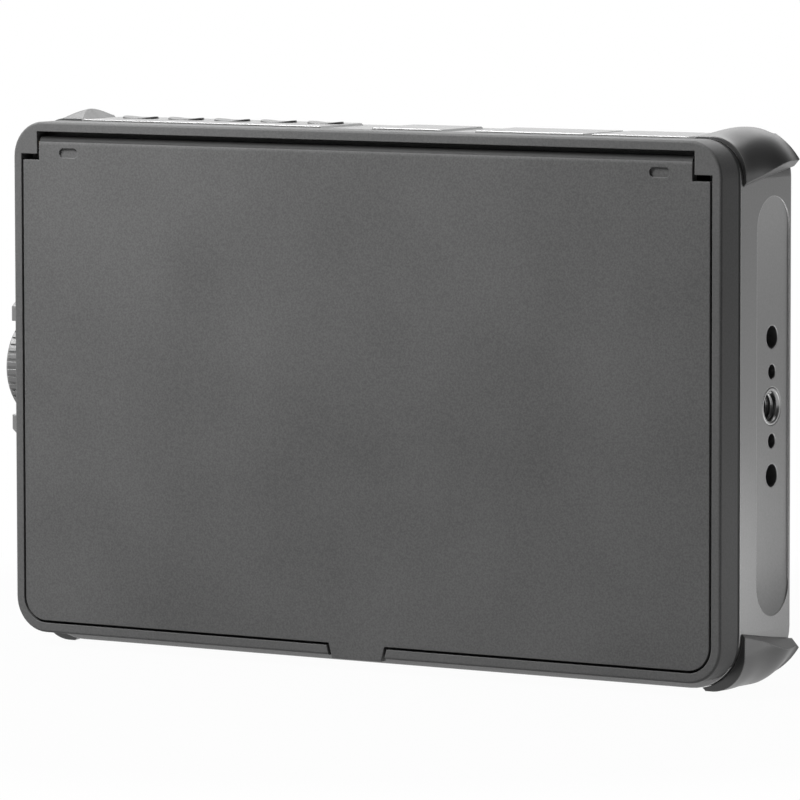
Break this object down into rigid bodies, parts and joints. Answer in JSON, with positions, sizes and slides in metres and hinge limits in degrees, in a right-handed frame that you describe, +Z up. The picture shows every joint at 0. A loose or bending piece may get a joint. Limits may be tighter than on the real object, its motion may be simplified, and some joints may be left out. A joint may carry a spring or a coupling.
{
  "type": "camera field monitor",
  "caption": "Field monitor for a camera rig with a sun hood folded shut over its screen, side and base mounting threads, and a plate for a slide-on battery.",
  "frame": {"origin": "mouth of the tripod thread in the underside", "axes": "+X to the viewer's right, +Y to the back, +Z up; the bottom thread's screw leaves along -Z"},
  "size_m": [0.1955, 0.0394, 0.1216],
  "materials": {
    "hood_plastic": "fine grain",
    "clip_plastic": "fine grain",
    "lid_plastic": "fine grain",
    "lining_fabric": "short pile",
    "wing_plastic": "matt",
    "shell_metal": "bead blasted",
    "cover_metal": "bead blasted",
    "bumper_rubber": "smooth",
    "dial_metal": "satin",
    "button_plastic": "half gloss",
    "cover_glass": "polished",
    "panel_dark": "smooth",
    "backlight_film": "smooth",
    "bezel_plastic": "matt",
    "tray_steel": "rolled",
    "board_resin": "solder resist",
    "switch_plastic": "moulded",
    "socket_steel": "rolled",
    "fan_plastic": "moulded",
    "sink_aluminium": "anodised",
    "plate_plastic": "fine grain",
    "contact_gold": "plated",
    "bush_brass": "turned",
    "insert_steel": "turned",
    "magnet_nickel": "plated",
    "screw_steel": "blackened"
  },
  "bodies": {
    "monitor": {"backlight": "backlight_film", "battery_contacts": "contact_gold", "battery_plate": "plate_plastic", "battery_plate_screws": "screw_steel", "board_screws": "screw_steel", "board_standoffs": "contact_gold", "bottom_thread_insert": "insert_steel", "button_strip": "board_resin", "button_strip_screws": "screw_steel", "button_switches": "switch_plastic", "corner_bumper_bottom_left": "bumper_rubber", "corner_bumper_bottom_right": "bumper_rubber", "corner_bumper_top_left": "bumper_rubber", "corner_bumper_top_right": "bumper_rubber", "cover_glass": "cover_glass", "dial_encoder": "switch_plastic", "fan_housing": "fan_plastic", "fan_screws": "screw_steel", "frame_magnets": "magnet_nickel", "heat_sink": "sink_aluminium", "hood_clip_frame": "clip_plastic", "hood_frame": "hood_plastic", "lcd_panel": "panel_dark", "lid_hinge_bushes": "bush_brass", "lid_hinge_pins": "screw_steel", "main_board": "board_resin", "panel_bezel": "bezel_plastic", "panel_tray": "tray_steel", "phone_socket": "switch_plastic", "rear_cover": "cover_metal", "rear_cover_screws": "screw_steel", "shell": "shell_metal", "side_thread_insert": "insert_steel", "usb_socket": "socket_steel", "video_socket": "socket_steel"},
    "lid": {"hood_lid": "lid_plastic", "lid_lining": "lining_fabric", "lid_magnets": "magnet_nickel", "wing_left": "wing_plastic", "wing_right": "wing_plastic", "wing_hinge_pins": "screw_steel"},
    "dial_press": {"dial_shaft": "screw_steel"},
    "dial": {"dial_wheel": "dial_metal"},
    "fan": {"fan_rotor": "fan_plastic"},
    "battery_release": {"battery_latch": "plate_plastic"},
    "key_1": {"button_1": "button_plastic"},
    "key_2": {"button_2": "button_plastic"},
    "key_3": {"button_3": "button_plastic"},
    "key_4": {"button_4": "button_plastic"},
    "key_5": {"button_5": "button_plastic"}
  },
  "joints": [
    {"name": "lid_hinge", "type": "hinge", "parent": "monitor", "child": "lid", "pos_m": [0, -0.0214, 0.1135], "axis": [-1, 0, 0], "range_deg": [0, 95]},
    {"name": "dial_push", "type": "slide", "parent": "monitor", "child": "dial_press", "axis": [1, 0, 0], "range_m": [0, 0.0005], "stiffness_N_per_m": 1500, "springref_m": -0.001},
    {"name": "dial_turn", "type": "hinge", "parent": "dial_press", "child": "dial", "pos_m": [-0.0975, -0.0026, 0.06145], "axis": [-1, 0, 0], "continuous": true},
    {"name": "fan_turn", "type": "hinge", "parent": "monitor", "child": "fan", "pos_m": [0.048, 0.0042, 0.08645], "axis": [0, 1, 0], "continuous": true},
    {"name": "battery_release_slide", "type": "slide", "parent": "monitor", "child": "battery_release", "axis": [0, 0, 1], "range_m": [0, 0.003], "stiffness_N_per_m": 400, "springref_m": -0.002},
    {"name": "key_1_push", "type": "slide", "parent": "monitor", "child": "key_1", "axis": [0, 0, -1], "range_m": [0, 0.0006], "stiffness_N_per_m": 1500, "springref_m": -0.0006},
    {"name": "key_2_push", "type": "slide", "parent": "monitor", "child": "key_2", "axis": [0, 0, -1], "range_m": [0, 0.0006], "stiffness_N_per_m": 1500, "springref_m": -0.0006},
    {"name": "key_3_push", "type": "slide", "parent": "monitor", "child": "key_3", "axis": [0, 0, -1], "range_m": [0, 0.0006], "stiffness_N_per_m": 1500, "springref_m": -0.0006},
    {"name": "key_4_push", "type": "slide", "parent": "monitor", "child": "key_4", "axis": [0, 0, -1], "range_m": [0, 0.0006], "stiffness_N_per_m": 1500, "springref_m": -0.0006},
    {"name": "key_5_push", "type": "slide", "parent": "monitor", "child": "key_5", "axis": [0, 0, -1], "range_m": [0, 0.0006], "stiffness_N_per_m": 1500, "springref_m": -0.0006}
  ]
}
